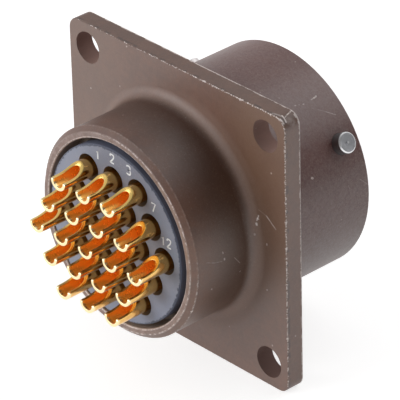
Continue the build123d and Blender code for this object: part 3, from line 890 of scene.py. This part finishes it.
def strokeBar(path, origin):
    # A flat bar carried along the path: its edges are the path +- half the stroke square to it, at 2 depths.
    # The list of points holds the four edges one after the other
    step = np.gradient(path, axis=0)
    step /= np.linalg.norm(step, axis=1)[:, None]
    side = np.stack([-step[:, 1], step[:, 0]], axis=1) * numberPrint["stroke"] / 2
    left, right = path + side, path - side
    low, high = faceStation - numberPrint["thick"], faceStation + numberPrint["sunk"]
    count = len(path)
    points = np.concatenate([
        np.stack([origin[0] + edge[:, 0], np.full(count, depth), origin[1] + edge[:, 1]], axis=1)
        for edge, depth in ((left, low), (right, low), (right, high), (left, high))])
    strip = np.arange(4)[:, None] * count
    beside = np.roll(strip, -1)
    here = np.arange(count - 1)
    walls = np.stack([strip + here, strip + here + 1, beside + here + 1, beside + here], axis=-1)
    ends = [strip[:, 0].tolist(), (strip[::-1, 0] + count - 1).tolist()]
    return points, walls.reshape(-1, 4).tolist() + ends

def makeNumbers():
    # Contacts count from 1, row by row from the top left as seen from the solder side
    order = sorted(contactNames, key=lambda name: (-round(contactPlaces[name][1], 2), contactPlaces[name][0]))
    points, faces = np.zeros((0, 3)), []
    for number, name in enumerate(order, start=1):
        if name not in numberPlaces:
            continue
        across, up = np.add(contactPlaces[name], numberPlaces[name])
        text = str(number)
        for index, digit in enumerate(text):
            shift = (index - (len(text) - 1) / 2) * numberPrint["pitch"] - 0.5
            corner = (across + shift * numberPrint["width"], up - numberPrint["height"] / 2)
            for stroke in digitStrokes[digit]:
                path = np.array(stroke)
                if digit not in straightDigits and len(stroke) > 2:
                    path = rounded(path, numberPrint["roundPasses"])
                barPoints, barFaces = strokeBar(path * [numberPrint["width"], numberPrint["height"]], corner)
                faces += [[len(points) + point for point in face] for face in barFaces]
                points = np.concatenate([points, barPoints])
    piece = closedMesh("position_numbers", points * mm, faces)
    shaped = bmesh.new()
    shaped.from_mesh(piece.data)
    bmesh.ops.recalc_face_normals(shaped, faces=shaped.faces)
    shaped.to_mesh(piece.data)
    shaped.free()
    ink = Finish("numberInk")
    worn = ink.noise(4.0, 4, 0.7)
    faded = ink.ease(worn, 0.6, 0.75, 0.0, numberPrint["wornShare"])
    ink.put(Base_Color=ink.blend(faded, numberPrint["colour"], numberPrint["worn"]),
            Roughness=ink.ease(worn, 0.3, 0.7, 0.5, 0.7), Normal=ink.bump(worn, numberPrint["relief"]))
    piece.data.materials.append(ink.material)
    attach(piece, "root")

makeNumbers()
print("numbers made")

# Studio: a white floor, a world that is brighter on one side, and two lamps that face the connector
studio = {"floorHalf": 1500, "floorColour": (0.6, 0.6, 0.6), "floorRoughness": 0.9, "floorGlow": 0.76,
          "brightSide": (-0.816, -0.02, -0.578), "bright": (0.975, 0.975, 0.975),
          "dim": (0.081, 0.081, 0.081)}

# Each lamp: where it stands, its size, and its power in watts
lamps = {"frontSoftbox": ((-250, -480, 150), 420, 1.49), "backSoftbox": ((120, 300, 400), 420, 0.6)}

def makeFloor():
    # It shows white to the camera and in reflections, by a glow that lights nothing else
    half, low = studio["floorHalf"], cadBox[0][2] / mm
    corners = np.array([(-half, -half, low), (half, -half, low), (half, half, low), (-half, half, low)]) * mm
    floor = closedMesh("floor", corners, [[0, 1, 2, 3]])
    paper = Finish("floorPaper")
    rays = paper.add("ShaderNodeLightPath").outputs
    seen = paper.largest(rays["Is Camera Ray"], rays["Is Glossy Ray"], rays["Is Transmission Ray"])
    paper.put(Base_Color=studio["floorColour"], Roughness=studio["floorRoughness"], Specular_IOR_Level=0.0,
              Emission_Color=(1.0, 1.0, 1.0), Emission_Strength=paper.product(seen, studio["floorGlow"]))
    floor.data.materials.append(paper.material)

def makeWorld():
    world = bpy.data.worlds.new("studioWorld")
    bpy.context.scene.world = world
    world.use_nodes = True
    nodes, links = world.node_tree.nodes, world.node_tree.links
    facing = nodes.new("ShaderNodeVectorMath")
    facing.operation = "DOT_PRODUCT"
    facing.inputs[1].default_value = Vector(studio["brightSide"]).normalized()
    links.new(nodes.new("ShaderNodeTexCoord").outputs["Generated"], facing.inputs[0])
    turnTo = nodes.new("ShaderNodeMapRange")
    turnTo.inputs["From Min"].default_value = -1
    turnTo.inputs["From Max"].default_value = 1
    links.new(facing.outputs["Value"], turnTo.inputs["Value"])
    shade = nodes.new("ShaderNodeMix")
    shade.data_type = "RGBA"
    shade.inputs[6].default_value = (*studio["dim"], 1)
    shade.inputs[7].default_value = (*studio["bright"], 1)
    links.new(turnTo.outputs[0], shade.inputs["Factor"])
    links.new(shade.outputs[2], nodes["Background"].inputs["Color"])

def placeLamp(name, place, size, power):
    data = bpy.data.lights.new(name, "AREA")
    data.shape = "SQUARE"
    data.size = size * mm
    data.energy = power
    lamp = bpy.data.objects.new(name, data)
    bpy.context.collection.objects.link(lamp)
    away = Vector(place) * mm
    lamp.matrix_world = Matrix.Translation(away) @ away.to_track_quat("Z", "Y").to_matrix().to_4x4()

makeFloor()
makeWorld()
for name, settings in lamps.items():
    placeLamp(name, *settings)
bpy.context.scene.view_settings.view_transform = "Standard"
print("studio set")
